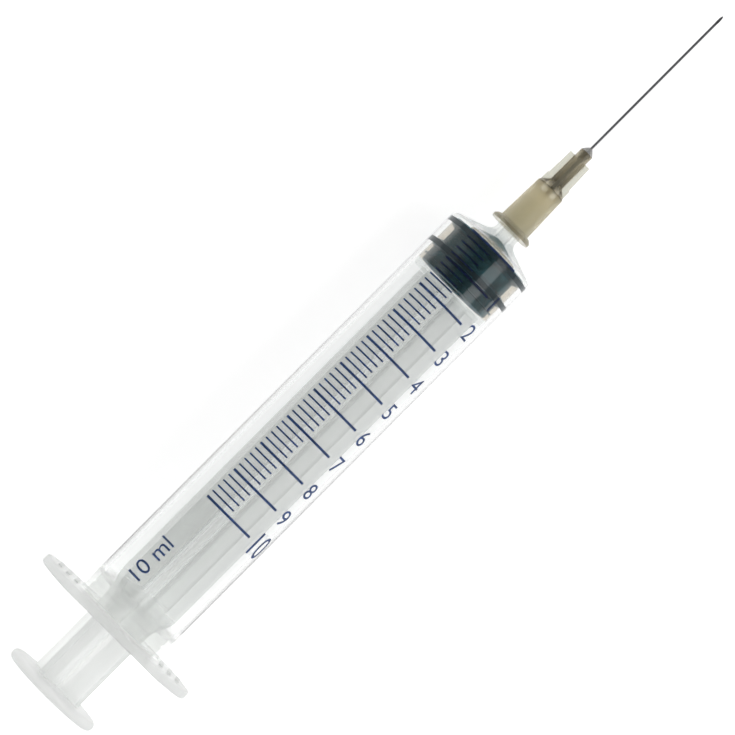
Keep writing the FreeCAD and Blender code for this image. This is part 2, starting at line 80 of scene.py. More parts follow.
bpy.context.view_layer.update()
MOUNTS = {mount["name"]: mount for mount in frame["record"]["mounts"]}
FORWARD = -Vector(MOUNTS["thumb_face"]["axis"])
ACROSS = Vector((0, 1, 0))
UPWARD = FORWARD.cross(ACROSS)
AXES = Matrix((FORWARD, ACROSS, UPWARD)).transposed().to_4x4()


def along(node, matrix):
    """The lowest and highest x of a node's mesh in a frame, and its greatest distance from the axis."""
    points = [matrix @ vertex.co for vertex in frame["nodes"][node].data.vertices]
    reach = max(math.hypot(point.y, point.z) for point in points)
    return min(point.x for point in points), max(point.x for point in points), reach


ON_AXIS = Matrix.Translation(Vector(MOUNTS["thumb_face"]["pos_m"])) @ AXES
FLANGE_REAR = along("barrel", ON_AXIS.inverted())[0]
LAID = ON_AXIS @ Matrix.Translation((FLANGE_REAR, 0, 0))
SPANS = {node: along(node, LAID.inverted()) for node in frame["nodes"]}


def length(name, millimetres, description):
    return FloatProperty(name=name, description=description, default=millimetres * MM,
                         min=0, precision=5, subtype="DISTANCE", unit="LENGTH")


def angle(name, degrees, description):
    return FloatProperty(name=name, description=description, default=math.radians(degrees),
                         subtype="ANGLE", unit="ROTATION")


def share(name, value, description):
    return FloatProperty(name=name, description=description, default=value, min=0, max=1, subtype="FACTOR")


def strength(name, value, description):
    return FloatProperty(name=name, description=description, default=value, min=0)


def count(name, value, description, least=1):
    return IntProperty(name=name, description=description, default=value, min=least)


def colour(name, value, description):
    return FloatVectorProperty(name=name, description=description, default=value,
                               min=0, max=1, size=3, subtype="COLOR")


class BarrelSizes(bpy.types.PropertyGroup):
    bore: length("Bore", 14.8, "Inside diameter of the barrel")
    wall: length("Wall", 0.9, "Wall of the barrel")
    body_length: length("Length", 84.2, "Rear face of the flange to the edge of the shoulder")
    edge: length("Front edge", 0.6, "Rounding of the shoulder's edge")
    shoulder_slope: angle("Shoulder slope", 69.3, "Angle of the shoulder to the axis")
    shoulder_wall: length("Shoulder wall", 0.85, "Wall of the shoulder")
    shoulder_root: length("Shoulder root", 1.5, "Hollow rounding where the nozzle leaves the shoulder")
    mouth_flare: length("Mouth flare", 0.3, "Widening of the bore at the open end")
    mouth_deep: length("Mouth depth", 1.5, "Length of that widening")
    bead_back: length("Bead place", 3.2, "Rear face of the flange to the bead inside the bore")
    bead_high: length("Bead height", 0.3, "Height of the bead that holds the plunger in")
    bead_wide: length("Bead width", 0.8, "Width of the bead at its foot")
    nozzle_length: length("Nozzle length", 7.7, "Length of the tapered nozzle")
    nozzle_bore: length("Nozzle bore", 2.2, "Hole through the nozzle")
    nozzle_tip: length("Nozzle tip", 3.925, "Diameter of the nozzle at its tip")
    taper: share("Taper", 0.06, "Taper of nozzle and hub, on the diameter")
    flange_flats: length("Flange flats", 24.0, "Finger flange across its flats")
    flange_width: length("Flange width", 30.9, "Finger flange from tip to tip")
    flange_thick: length("Flange plate", 1.55, "Thickness of the finger flange")
    flange_edge: length("Flange edge", 0.4, "Rounding of the flange's rim")
    flange_corner: length("Flange corner", 2.0, "Rounding of the flange's corners, seen along the axis")
    ridge_gap: length("Ridge gap", 0.55, "Barrel's side to the first grip ridge")
    ridge_pitch: length("Ridge pitch", 1.75, "Spacing of the grip ridges")
    ridge_count: count("Ridges", 3, "Grip ridges on each wing", 0)
    ridge_wide: length("Ridge width", 0.8, "Width of a grip ridge")
    ridge_long: length("Ridge length", 9.0, "Length of a grip ridge")
    ridge_high: length("Ridge height", 0.25, "Height of a grip ridge")


class ScaleSizes(bpy.types.PropertyGroup):
    capacity: count("Capacity", 10, "Volume at the last mark, in millilitres")
    divisions: count("Divisions", 5, "Divisions in one millilitre")
    ink: length("Ink", 0.04, "Thickness of the printed ink")
    mark_wide: length("Long mark", 0.42, "Width of a numbered mark")
    tick_wide: length("Small mark", 0.28, "Width of a small mark")
    start: angle("Start", -30.3, "Angle from the top to where the marks start")
    tick_end: angle("Small mark's end", 2.9, "Angle from the top to the end of a small mark")
    mark_end: angle("Long mark's end", 36.8, "Angle from the top to the end of a numbered mark")
    digit_start: angle("Number's start", 47.7, "Angle from the top to where the numbers start")
    digit_high: length("Number height", 2.9, "Height of the numbers, along the barrel")
    last_high: length("Last number height", 4.3, "Height of the number at the last mark")
    last_narrow: share("Last number's narrowing", 0.72, "Width of that number against the plain figures")
    label_high: length("Label height", 2.7, "Height of the plain volume label near the flange")
    label_start: length("Label place", 8.6, "Rear face of the flange to the start of that label")
    label_side: length("Label offset", 2.3, "Top line of the barrel to the foot of that label")


class PlungerSizes(bpy.types.PropertyGroup):
    head_thick: length("Head", 1.2, "Thickness of the disc behind the stopper")
    head_clear: length("Head gap", 0.2, "Radial gap round that disc")
    neck: length("Neck", 6.0, "Diameter of the neck inside the stopper")
    neck_length: length("Neck length", 1.6, "Length of the neck")
    button: length("Button", 8.8, "Diameter of the button inside the stopper")
    button_length: length("Button length", 3.0, "Length of the button")
    button_edge: length("Button edge", 0.7, "Chamfer on the button's front")
    play: length("Play", 0.05, "Clearance between the rod's head and the stopper")
    rib_thick: length("Rib", 1.25, "Thickness of the crossed ribs")
    rib_clear: length("Rib gap", 0.15, "Radial gap from the ribs to the bead")
    rib_rear: length("Rear ribs", 10.9, "Ribs, edge to edge, outside the barrel")
    rib_root: length("Rib root", 0.35, "Hollow rounding between the ribs")
    rib_edge: length("Rib edge", 0.18, "Rounding of the ribs' edges")
    step_start: length("Step start", 3.0, "Flange to where the ribs start to widen")
    step_end: length("Step end", 7.9, "Flange to where they have their full width")
    turn: angle("Turn", 55.0, "Turn of the crossed ribs about the axis")
    thumb_thick: length("Thumb plate", 1.8, "Thickness of the thumb plate")
    thumb_edge: length("Thumb plate edge", 0.8, "Rounding of the thumb plate's rim")
    thumb_dish: length("Thumb plate dish", 0.12, "Depth of the shallow dish in the thumb plate")


class StopperSizes(bpy.types.PropertyGroup):
    press: length("Ring squeeze", 0.02, "How far the rings press into the wall, which they wet")
    body_clear: length("Body gap", 0.65, "Radial gap round the stopper behind its second ring")
    waist_clear: length("Waist gap", 1.1, "Radial gap round the stopper between its rings")
    lip_clear: length("Lip gap", 0.2, "Radial gap round the thin lip")
    lip_back: length("Lip place", 1.1, "Stopper's rear face to the lip")
    lip_wide: length("Lip width", 0.22, "Width of the lip")
    ring_back: length("Second ring place", 2.95, "Stopper's rear face to the second ring")
    ring_wide: length("Second ring", 1.0, "Width of the second ring")
    ring_slope: length("Ring slope", 0.45, "Length of the rings' sloping flanks")
    front_ring: length("Front ring", 1.0, "Width of the front ring")
    seal_length: length("Length", 8.35, "Stopper's rear face to the front ring's edge")
    nose: length("Nose", 1.8, "Diameter of the flat nose")
    edge: length("Edges", 0.14, "Rounding of the rubber's edges")
    film: length("Film", 0.02, "Thickness of the silicone film between the stopper and the wall")


class NeedleSizes(bpy.types.PropertyGroup):
    depth: length("Nozzle depth", 6.0, "Length of nozzle inside the hub")
    clear: length("Taper gap", 0.015, "Radial clearance between nozzle and hub")
    lug_thick: length("Lugs", 1.0, "Thickness of the lugs")
    lug_flare: length("Lug slope", 0.45, "Sloping front of the lugs")
    rear_wall: length("Rear wall", 0.69, "Wall of the hub at its open end")
    front_wall: length("Front wall", 0.66, "Wall of the hub at the floor of its socket")
    body_length: length("Hub body", 9.2, "Length of the hub's body")
    cavity: length("Socket", 8.0, "Depth of the hub's tapered socket")
    shoulder: length("Hub shoulder", 1.3, "Length of the cone in front of the hub's body")
    fin_thick: length("Fins", 0.65, "Thickness of the fins")
    fin_first: length("Fins' first height", 4.75, "Fins, edge to edge, at their start")
    fin_step: length("Fins' step", 1.8, "Length of the fins' taller start")
    fin_main: length("Fins' height", 4.4, "Fins, edge to edge, past the step")
    fin_end: length("Fins' last height", 4.1, "Fins, edge to edge, at their end")
    fin_length: length("Fins' length", 6.6, "Length of the fins from the hub's body")
    well: length("Well", 1.7, "Diameter of the glue well at its mouth")
    well_deep: length("Well depth", 2.2, "Depth of the glue well")
    well_wall: length("Well wall", 0.3, "Wall of the hub's core round the well")
    glue_top: length("Adhesive top", 0.65, "Adhesive round the needle at its very front")
    tube_bore: length("Needle bore", 0.24, "Bore of the needle")
    bevel: angle("Bevel", 12.0, "Angle of the needle's ground point")


class Finishes(bpy.types.PropertyGroup):
    clear_plastic: colour("Clear plastic", (0.945, 0.953, 0.949), "Tint of the barrel")
    film: colour("Silicone film", (0.92, 0.90, 0.865), "Tint that each face of the stopper's film gives")
    film_clear: share("Film's clearness", 0.97, "How much is seen straight through a face of that film")
    milky_plastic: colour("Milky plastic", (0.970, 0.975, 0.970), "Colour of the plunger rod")
    rubber: colour("Rubber", (0.036, 0.148, 0.205), "Colour of the stopper")
    wet_rubber: colour("Wetted rubber", (0.034, 0.070, 0.085), "Colour of its rings where they wet the wall")
    ink: colour("Ink", (0.045, 0.085, 0.235), "Colour of the printed scale")
    hub_plastic: colour("Hub plastic", (0.955, 0.90, 0.74), "Colour of the needle's hub")
    hub_dark: colour("Hub's thick places", (0.37, 0.33, 0.235), "Colour of the hub's lugs and core")
    hub_pale: colour("Hub's fins", (0.80, 0.81, 0.78), "Colour of its thin fins")
    adhesive: colour("Adhesive", (0.66, 0.66, 0.65), "Colour of the cured adhesive")
    steel: colour("Steel", (0.26, 0.26, 0.27), "Colour of the needle")
    let_through: share("Let through", 0.86, "Share of the light that milky plastic scatters through")
    hub_through: share("Hub lets through", 0.45, "The same for the hub")
    hub_glass: share("Hub's glassiness", 0.75, "How far the hub's skin bends light as clear plastic does")
    rib_clear: share("Ribs' clearness", 0.77, "How much is seen straight through a rib's surface")
    head_clear: share("Head's clearness", 0.92, "The same for the disc behind the stopper")
    rear_clear: share("Rear ribs' clearness", 0.4, "The same for the ribs behind the flange")
    core_clear: share("Rod core's clearness", 0.85, "Clearness where the ribs cross, against the ribs")
    thick_clear: share("Plates' clearness", 0.32, "The same for the thick plates and the flange")
    nozzle_clear: share("Nozzle's clearness", 0.8, "The same for the shoulder, nozzle and barrel's mouth")
    hub_clear: share("Hub's clearness", 0.12, "The same for the hub's body")
    fin_clear: share("Fins' clearness", 0.45, "The same for the hub's fins")
    lug_depth: share("Lugs' depth", 0.75, "How far the lugs take the colour of the hub's thick places")
    nose_fade: share("Nose's fading", 0.3, "How far the hub's core loses that colour towards its nose")
    shoulder_shade: share("Hub shoulder's shade", 0.55, "Brightness of that colour at the hub's shoulder")
    thick_stop: share("Thick places' cover", 0.8, "How far the hub's thick places keep light from passing")
    haze: share("Haze", 0.004, "Milkiness of the barrel's wall")
    flange_milk: share("Flange's milkiness", 0.92, "Milkiness of the thick flange")
    nozzle_milk: share("Nozzle's milkiness", 0.85, "Milkiness of the shoulder and nozzle")


class StageSettings(bpy.types.PropertyGroup):
    camera_high: length("Camera height", 540, "Camera above the syringe's axis")
    camera_turn: angle("Camera turn", 45.1, "Turn of the picture about the line of sight")
    view_wide: length("View width", 115.3, "Width of the view at the syringe's axis")
    view_along: length("View centre", 57.2, "Flange to the middle of the picture, along the axis")
    view_across: length("View offset", 0.65, "Axis to the middle of the picture, across it")
    sky_top: strength("Light from above", 0.06, "Strength of the light straight above")
    sky_side: strength("Light from the sides", 0.6, "Strength of the light near the horizon")
    dusk_low: share("Dusk's lower edge", 0.6, "Height in the sky where the side light starts to fade")
    dusk_high: share("Dusk's upper edge", 0.97, "Height in the sky where only the light from above is left")
    lamp_power: strength("Soft lamp", 4.0, "Power of the large soft lamp, in watts")
    lamp_long: length("Lamp length", 1600, "Long side of the soft lamp")
    lamp_wide: length("Lamp width", 700, "Short side of the soft lamp")
    lamp_aside: length("Lamp's distance", 880, "Middle of the picture to the lamp, towards -Y")
    lamp_high: length("Lamp's height", 1010, "Middle of the picture to the lamp, upwards")
    table_light: strength("Light table", 0.73, "Strength of the light from the floor")
    floor: colour("Floor", (0.93, 0.93, 0.93), "Colour of the floor")


# Materials


class Socket:
    """An output socket of a material's nodes. Python's operators on it add Math nodes."""

    def __init__(self, finish, socket):
        self.finish = finish
        self.socket = socket

    def other(self, name):
        """Another output of the same node."""
        return Socket(self.finish, self.socket.node.outputs[name])

    def math(self, operation, first, second):
        return self.finish.node("ShaderNodeMath", {"operation": operation}, {0: first, 1: second})

    def __add__(self, value):
        return self.math("ADD", self, value)

    def __sub__(self, value):
        return self.math("SUBTRACT", self, value)

    def __rsub__(self, value):
        return self.math("SUBTRACT", value, self)

    def __mul__(self, value):
        return self.math("MULTIPLY", self, value)

    __radd__ = __add__
    __rmul__ = __mul__


class Finish:
    """A material that is being put together."""

    def __init__(self, name):
        self.material = bpy.data.materials.new(name)
        self.material.use_nodes = True
        self.nodes = self.material.node_tree.nodes
        self.links = self.material.node_tree.links
        self.nodes.clear()

    def node(self, kind, settings, sockets):
        """Add a node: its settings are made first, then each socket gets a value or a link."""
        node = self.nodes.new(kind)
        for name, value in settings.items():
            setattr(node, name, value)
        for name, value in sockets.items():
            if isinstance(value, Socket):
                self.links.new(value.socket, node.inputs[name])
            else:
                node.inputs[name].default_value = value
        return Socket(self, node.outputs[0])

    def skin(self, sockets):
        """The surface itself, as one Principled shader."""
        return self.node("ShaderNodeBsdfPrincipled", {}, sockets)

    def place(self):
        """The point's place in the frame that the pieces are drawn in, with X along the syringe."""
        point = self.node("ShaderNodeTexCoord", {}, {}).other("Object")
        back = LAID.inverted()
        return self.node("ShaderNodeMapping", {}, {
            "Vector": point, "Location": back.to_translation(), "Rotation": back.to_euler()})

    def along(self):
        """The distance from the flange's rear face, along the syringe."""
        return self.node("ShaderNodeSeparateXYZ", {}, {0: self.place()})

    def off_axis(self):
        """The distance from the syringe's axis."""
        flat = self.node("ShaderNodeVectorMath", {"operation": "MULTIPLY"}, {0: self.place(), 1: (0, 1, 1)})
        return self.node("ShaderNodeVectorMath", {"operation": "LENGTH"}, {0: flat}).other("Value")

    def grained(self, scale, stretch=(1, 1, 1), detail=4.0):
        """Noise that is squeezed by the given factors along the syringe's axes."""
        squeezed = self.node("ShaderNodeVectorMath", {"operation": "MULTIPLY"}, {0: self.place(), 1: stretch})
        return self.node("ShaderNodeTexNoise", {}, {"Vector": squeezed, "Scale": scale, "Detail": detail})

    def between(self, factor, low, high):
        """A colour between two others."""
        settings = {"data_type": "RGBA", "clamp_factor": True}
        low, high = (tint if isinstance(tint, Socket) else (*tint, 1) for tint in (low, high))
        mixed = self.node("ShaderNodeMix", settings, {0: factor, 6: low, 7: high})
        return Socket(self, mixed.socket.node.outputs[2])

    def mottled(self, factor, tint, shade):
        """A colour that is shaded where the factor is 0."""
        return self.between(factor, shaded(tint, shade), tint)

    def window(self, value, low, high):
        """0 below the low value and 1 above the high one."""
        return self.node("ShaderNodeMapRange", {"clamp": True}, {0: value, 1: low, 2: high})

    def bumps(self, height, depth, strength=1.0):
        return self.node("ShaderNodeBump", {}, {"Height": height, "Distance": depth, "Strength": strength})

    def done(self, shader):
        output = self.nodes.new("ShaderNodeOutputMaterial")
        self.links.new(shader.socket, output.inputs["Surface"])
        return self.material


def shaded(tint, factor):
    return tuple(channel * factor for channel in tint)


def milk(finish, tint, body, seen, let_through, seen_through, roughness, normal, glass=0.0):
    """Milky plastic: a glossy skin, a body that scatters light through, and a share that is simply clear."""
    skin = finish.skin({
        "Base Color": tint,
        "Roughness": roughness,
        "IOR": PLASTIC_BENDS,
        "Transmission Weight": glass,
        "Normal": normal,
    })
    scattered = finish.node("ShaderNodeBsdfTranslucent", {}, {"Color": (*body, 1)})
    straight = finish.node("ShaderNodeBsdfTransparent", {}, {"Color": (*seen, 1)})
    milky = finish.node("ShaderNodeMixShader", {}, {0: let_through, 1: skin, 2: scattered})
    return finish.node("ShaderNodeMixShader", {}, {0: seen_through, 1: milky, 2: straight})


def clear_plastic(finishes, sizes, outer):
    """Thin clear polypropylene with faint flow lines, milkier at the flange, shoulder and nozzle."""
    finish = Finish("clear_polypropylene")
    flow = finish.grained(900, (0.05, 1, 1), 3)
    cloud = finish.grained(120, (0.4, 1, 1), 2)
    dust = finish.window(finish.grained(5200, detail=1), 0.66, 0.74)
    x = finish.along()
    thin = finish.skin({
        "Base Color": finish.mottled(cloud, finishes.clear_plastic, 0.985),
        "Roughness": 0.02 + cloud * 0.05 + dust * 0.10,
        "IOR": PLASTIC_BENDS,
        "Transmission Weight": 1.0,
        "Normal": finish.bumps(flow, 0.004 * MM, 0.03),
    })
    pale = finish.mottled(cloud, finishes.milky_plastic, 0.97)
    # Each of these is 1 in one part of the barrel and 0 elsewhere, with a short soft edge.
    bead_end = sizes.bead_back + sizes.bead_wide
    rear = 1 - finish.window(x, bead_end + sizes.bead_wide, bead_end + sizes.bead_wide * 3)
    tube = 1 - finish.window(finish.off_axis(), outer * 1.02, outer * 1.04)
    mouth = rear * tube * finish.window(x, sizes.flange_thick, sizes.flange_thick * 1.3)
    front = finish.window(x, sizes.body_length - sizes.edge / 2, sizes.body_length + sizes.edge)
    milky = rear * finishes.flange_milk + front * finishes.nozzle_milk
    clear = (front + mouth) * (finishes.nozzle_clear - finishes.thick_clear) + finishes.thick_clear
    thick = milk(finish, pale, finishes.milky_plastic, finishes.milky_plastic, finishes.let_through, clear,
                 0.22 + cloud * 0.10, finish.bumps(cloud, 0.02 * MM, 0.3))
    return finish.done(finish.node("ShaderNodeMixShader", {}, {
        0: milky + finishes.haze, 1: thin, 2: thick}))


def milky_plastic(finishes, sizes):
    """Natural polypropylene: milky, with soft sheen and a fine moulded grain, clearer in its thin ribs."""
    finish = Finish("natural_polypropylene")
    cloud = finish.grained(260, (0.3, 1, 1), 3)
    grain = finish.grained(3800, detail=2)
    tint = finish.mottled(cloud, finishes.milky_plastic, 0.97)
    x = finish.along()
    thumb_front = SPANS["plunger_rod"][0] + sizes.thumb_thick
    head_rear = SPANS["stopper"][0] - sizes.play - sizes.head_thick
    # Each of these is 1 in one part of the rod and 0 elsewhere, with a soft edge.
    past_thumb = finish.window(x, thumb_front, thumb_front + sizes.rib_root)
    wide = finish.window(x, sizes.step_start, sizes.step_end)
    ribs = finish.window(finish.off_axis(), sizes.rib_thick * 0.9, sizes.rib_thick * 1.3)
    clear = wide * (finishes.rib_clear - finishes.rear_clear) + finishes.rear_clear
    thin = past_thumb * (ribs + (1 - ribs) * wide * finishes.core_clear)
    head = finish.window(x, head_rear - sizes.rib_root, head_rear)
    clear = thin * (clear - finishes.thick_clear) + finishes.thick_clear
    clear = clear + head * (finishes.head_clear - clear)
    return finish.done(milk(finish, tint, finishes.milky_plastic, finishes.milky_plastic,
                            finishes.let_through, clear, 0.30 + cloud * 0.16,
                            finish.bumps(grain, 0.01 * MM, 0.4)))


def silicone(finishes):
    """A clear film of silicone with a warm tint and slightly uneven clearness."""
    finish = Finish("silicone_film")
    cloud = finish.grained(700, (0.3, 1, 1), 2)
    tint = finish.mottled(cloud, finishes.film, 0.95)
    return finish.done(milk(finish, tint, finishes.film, finishes.film, finishes.let_through,
                            finishes.film_clear + cloud * (1 - finishes.film_clear),
                            0.2 + cloud * 0.1, finish.bumps(cloud, 0.002 * MM, 0.3)))


def rubber(finishes, wall, press):
    """Dark moulded rubber: fine grain, a little pale bloom, darker where its rings wet the wall."""
    finish = Finish("dark_rubber")
    grain = finish.grained(4200, detail=3)
    bloom = finish.window(finish.grained(420, detail=5), 0.45, 0.75)
    wet = finish.window(finish.off_axis(), wall, wall + press / 2)
    dry = finish.between(bloom, finishes.rubber, shaded(finishes.rubber, 1.9))
    tint = finish.between(wet, dry, finishes.wet_rubber)
    return finish.done(finish.skin({
        "Base Color": tint,
        "Roughness": 0.36 + bloom * 0.18 + grain * 0.08,
        "IOR": RUBBER_BENDS,
        "Specular IOR Level": 0.2,
        "Normal": finish.bumps(grain, 0.02 * MM, 0.6),
    }))


def printed_ink(finishes):
    """Screen-printed ink: even, with slightly thin and broken spots."""
    finish = Finish("navy_ink")
    mesh = finish.grained(7000, detail=2)
    thin = finish.window(finish.grained(2600, detail=3), 0.48, 0.72)
    tint = finish.between(thin, finishes.ink, shaded(finishes.ink, 2.2))
    return finish.done(finish.skin({
        "Base Color": tint,
        "Roughness": 0.36 + thin * 0.2,
        "IOR": INK_BENDS,
        "Transmission Weight": 0.9,
        "Normal": finish.bumps(mesh, 0.006 * MM, 0.5),
    }))


def hub_plastic(finishes, sizes, front_radius):
    """Translucent olive-brown plastic with faint flow marks, darker where thick and pale in its fins."""
    finish = Finish("brown_hub_plastic")
    cloud = finish.grained(380, (0.35, 1, 1), 3)
    grain = finish.grained(5200, (0.25, 1, 1), 2)
    rear = SPANS["needle_hub"][0]
    body_end = rear + sizes.body_length
    core = sizes.well / 2 + sizes.well_wall
    x = finish.along()
    lugs = 1 - finish.window(x, rear + sizes.lug_thick * 0.8, rear + sizes.lug_thick * 1.3)
    # The shoulder's cone is counted as wide as the body, so that only the fins stand outside.
    front = finish.window(x, body_end - sizes.shoulder / 4, body_end)
    narrowed = finish.window(x, body_end, body_end + sizes.shoulder)
    outside = finish.window(finish.off_axis() + narrowed * (front_radius - core), front_radius * 1.01,
                            front_radius * 1.08)
    fins = front * outside
    towards_nose = finish.window(x, body_end + sizes.shoulder, SPANS["needle_hub"][1])
    thick = lugs * finishes.lug_depth + front * (1 - outside) * (1 - towards_nose * finishes.nose_fade)
    body = finish.mottled(cloud, finishes.hub_plastic, 0.93)
    thin = finish.between(fins, body, finishes.hub_pale)
    past_shoulder = finish.window(x, body_end + sizes.shoulder, body_end + sizes.shoulder * 3)
    core_dark = finish.mottled(past_shoulder, finishes.hub_dark, finishes.shoulder_shade)
    dark = finish.between(front, finishes.hub_dark, core_dark)
    clear = fins * finishes.fin_clear + finishes.hub_clear * (1 - thick)
    through = finishes.hub_through * (1 - thick * finishes.thick_stop)
    return finish.done(milk(finish, finish.between(thick, thin, dark), finishes.hub_plastic,
                            finishes.hub_pale, through, clear, 0.10 + cloud * 0.10,
                            finish.bumps(grain, 0.008 * MM, 0.3), finishes.hub_glass))


def adhesive(finishes):
    """Cured clear adhesive, greyish, with small bubbles and a wavy skin."""
    finish = Finish("clear_adhesive")
    skin = finish.grained(1500, detail=2)
    bubbles = finish.window(finish.grained(4800, detail=1), 0.6, 0.7)
    tint = finish.between(bubbles, finishes.adhesive, shaded(finishes.adhesive, 1.25))
    return finish.done(finish.skin({
        "Base Color": tint,
        "Roughness": 0.12 + bubbles * 0.2,
        "IOR": RUBBER_BENDS,
        "Transmission Weight": 0.5,
        "Normal": finish.bumps(skin, 0.03 * MM, 0.6),
    }))


def steel(finishes):
    """Drawn stainless tube: fine scratches along its length."""
    finish = Finish("needle_steel")
    scratches = finish.grained(9000, (0.015, 1, 1), 4)
    smear = finish.grained(260, (0.4, 1, 1), 2)
    tint = finish.between(smear, shaded(finishes.steel, 0.8), shaded(finishes.steel, 1.1))
    return finish.done(finish.skin({
        "Base Color": tint,
        "Metallic": 1.0,
        "Roughness": 0.22 + scratches * 0.2,
        "Normal": finish.bumps(scratches, 0.004 * MM, 0.5),
    }))


def floor_paint(stage):
    """Plain pale floor that glows a little, as a light table does, with a barely visible unevenness."""
    finish = Finish("pale_floor")
    cloud = finish.grained(9, detail=2)
    return finish.done(finish.skin({
        "Base Color": finish.mottled(cloud, stage.floor, 0.995),
        "Roughness": 0.75 + cloud * 0.1,
        "Specular IOR Level": 0.1,
        "Emission Color": (1, 1, 1, 1),
        "Emission Strength": stage.table_light,
    }))


# Shapes


def softened(outline, closed):
    """Turn an outline of (x, radius, rounding) into plain points: each rounding becomes an arc."""
    corners = [Vector(point[:2]) for point in outline]
    line = []
    for number, point in enumerate(outline):
        here = corners[number]
        inner = closed or 0 < number < len(outline) - 1
        if len(point) < 3 or not inner:
            line.append(here)
            continue
        rounding = point[2]
        back = (corners[number - 1] - here).normalized()
        ahead = (corners[(number + 1) % len(corners)] - here).normalized()
        half = back.angle(ahead) / 2
        centre = here + (back + ahead).normalized() * rounding / math.sin(half)
        start = (here + back * rounding / math.tan(half) - centre).normalized()
        end = (here + ahead * rounding / math.tan(half) - centre).normalized()
        line += [centre + start.slerp(end, step / ARC_STEPS) * rounding for step in range(ARC_STEPS + 1)]
    return line


def spun(bm, geometry, turn, steps, joined):
    """Sweep a line or a face about the X axis. A full turn can be joined to its start."""
    bmesh.ops.spin(bm, geom=geometry, cent=(0, 0, 0), axis=(1, 0, 0), dvec=(0, 0, 0),
                   angle=turn, steps=steps, use_merge=joined, use_duplicate=False)


def rolled(bm, vertices, turn):
    """Turn vertices about the X axis."""
    bmesh.ops.rotate(bm, verts=vertices, cent=(0, 0, 0), matrix=Matrix.Rotation(turn, 3, "X"))


def faced_outward(bm, vertices):
    """Make the faces at these vertices look outwards."""
    faces = {face for vertex in vertices for face in vertex.link_faces}
    bmesh.ops.recalc_face_normals(bm, faces=list(faces))


def sliced(bm, point, near, normal=(1, 0, 0), cut_away=False):
    """Cut everything through with a plane. What lies past it can be cut away."""
    bmesh.ops.bisect_plane(bm, geom=bm.verts[:] + bm.edges[:] + bm.faces[:], dist=near,
                           plane_co=point, plane_no=normal, clear_outer=cut_away)


def rounded(bm, edges, radius):
    """Round edges off."""
    bmesh.ops.bevel(bm, geom=edges, offset=radius, segments=BEVEL_STEPS, profile=0.5,
                    affect="EDGES", material=-1)


def turned(bm, outline, steps=FULL_STEPS, closed=False):
    """Spin an outline about the X axis into one closed shell, and return its vertices."""
    before = set(bm.verts)
    points = [bm.verts.new((x, 0, radius)) for x, radius in softened(outline, closed)]
    ahead = points[1:] + points[:1] if closed else points[1:]
    lines = [bm.edges.new(pair) for pair in zip(points, ahead)]
    spun(bm, points + lines, TURN, steps, True)
    shell = [vertex for vertex in bm.verts if vertex not in before]
    bmesh.ops.remove_doubles(bm, verts=shell, dist=NEAR)
    shell = [vertex for vertex in bm.verts if vertex not in before]
    faced_outward(bm, shell)
    return shell


def flattened(vertices, beyond, radius, flat, corner):
    """Draw in a round rim at the top and bottom, so that it has two flats with rounded corners.

    Vertices closer to the axis than beyond stay. The corners are arcs that touch the rim and the flat.
    """
    corner_side = math.sqrt((radius - corner) ** 2 - (flat - corner) ** 2)
    corner_far = corner_side * radius / (radius - corner)
    for vertex in vertices:
        distance = math.hypot(vertex.co.y, vertex.co.z)
        if distance < beyond:
            continue
        side = abs(vertex.co.y) / distance
        high = abs(vertex.co.z) / distance
        reach = radius
        if side * radius < corner_far:
            reach = flat / high
            if side * reach > corner_side:
                middle = side * corner_side + high * (flat - corner)
                offset = corner_side ** 2 + (flat - corner) ** 2 - corner ** 2
                reach = middle + math.sqrt(max(middle ** 2 - offset, 0))
        scale = (distance - (radius - reach)) / distance
        vertex.co.y *= scale
        vertex.co.z *= scale


def in_scene(name, data):
    """A new object in the scene."""
    item = bpy.data.objects.new(name, data)
    bpy.context.scene.collection.objects.link(item)
    return item


def as_mesh(bm, name, material):
    """Turn the shape into a mesh of that material, and drop the shape."""
    mesh = bpy.data.meshes.new(name)
    bm.to_mesh(mesh)
    bm.free()
    mesh.materials.append(material)
    return mesh


def as_object(bm, name, material):
    """Lay the shape where the syringe lies and make it an object with smooth faces and crisp edges."""
    loose = [edge for edge in bm.edges if not edge.is_manifold]
    if loose:
        raise ValueError(f"{name} is not closed: {len(loose)} open edges")
    bm.transform(LAID)
    for face in bm.faces:
        face.smooth = True
    for edge in bm.edges:
        edge.smooth = edge.calc_face_angle(0) < SMOOTH_LIMIT
    return in_scene(name, as_mesh(bm, name, material))


def placed(piece, body, slot, *nodes):
    """Tell the frame what the piece rides on and the nodes that it stands for; its finish, the slot, is not
    used.
    """
    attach(piece, body)
    if nodes:
        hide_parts(*nodes)


def bar(bm, centre, dimensions, edge):
    """A straight bar with rounded edges."""
    place = Matrix.Translation(centre) @ Matrix.Diagonal((*dimensions, 1))
    made = bmesh.ops.create_cube(bm, size=1, matrix=place)
    edges = {line for vertex in made["verts"] for line in vertex.link_edges}
    rounded(bm, list(edges), edge)


def barrel_places(context):
    """The barrel's places along the axis and distances from it, worked out from its sizes."""
    sizes = context.scene.syringe_barrel
    slope = sizes.shoulder_slope
    bore = sizes.bore / 2
    outer = bore + sizes.wall
    tip = sizes.nozzle_tip / 2
    root = tip + sizes.taper / 2 * sizes.nozzle_length
    root_x = sizes.body_length + (outer - root) / math.tan(slope)
    chamber_x = sizes.body_length + sizes.wall / math.tan(slope) - sizes.shoulder_wall / math.sin(slope)
    return {
        "bore": bore,
        "outer": outer,
        "tip": tip,
        "root": root,
        "root_x": root_x,
        "tip_x": root_x + sizes.nozzle_length,
        "chamber_x": chamber_x,
        "channel_x": chamber_x + (bore - sizes.nozzle_bore / 2) / math.tan(slope),
    }


